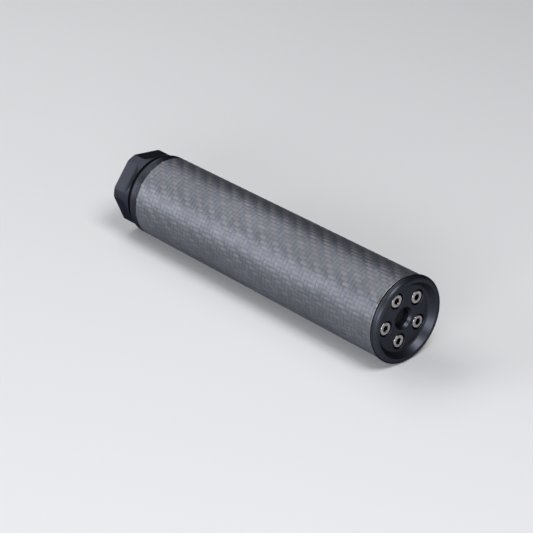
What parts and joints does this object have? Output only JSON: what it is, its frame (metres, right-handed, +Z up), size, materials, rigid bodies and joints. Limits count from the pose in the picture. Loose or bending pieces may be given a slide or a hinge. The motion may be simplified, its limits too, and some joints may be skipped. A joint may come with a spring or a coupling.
{
  "type": "inert display model of a sound suppressor",
  "caption": "Solid inert display model of a carbon-sleeved sound suppressor: outside shape only, with a blind front recess, a plain closed rear end and a blank core.",
  "frame": {"origin": "bottom centre of the bounding box, on the surface that the cylinder lies on", "axes": "+X along the cylinder towards the dished front cap, +Z up, cylinder lying on its side"},
  "size_m": [0.1606, 0.0368, 0.0368],
  "materials": {
    "carbon": "satin twill-woven carbon fibre",
    "cap_metal": "satin black anodised, turned",
    "rear_metal": "satin black anodised, turned and milled",
    "screw_steel": "plain stainless, turned",
    "seal_black": "matt black",
    "plug_black": "matt black",
    "core_plastic": "plain"
  },
  "bodies": {
    "root": {"carbon_sleeve": "carbon", "front_cap": "cap_metal", "cap_screws": "screw_steel", "recess_plug": "plug_black", "front_seal": "seal_black", "rear_collar": "rear_metal", "rear_seal": "seal_black", "rear_hex": "rear_metal", "blank_core": "core_plastic"}
  },
  "joints": []
}
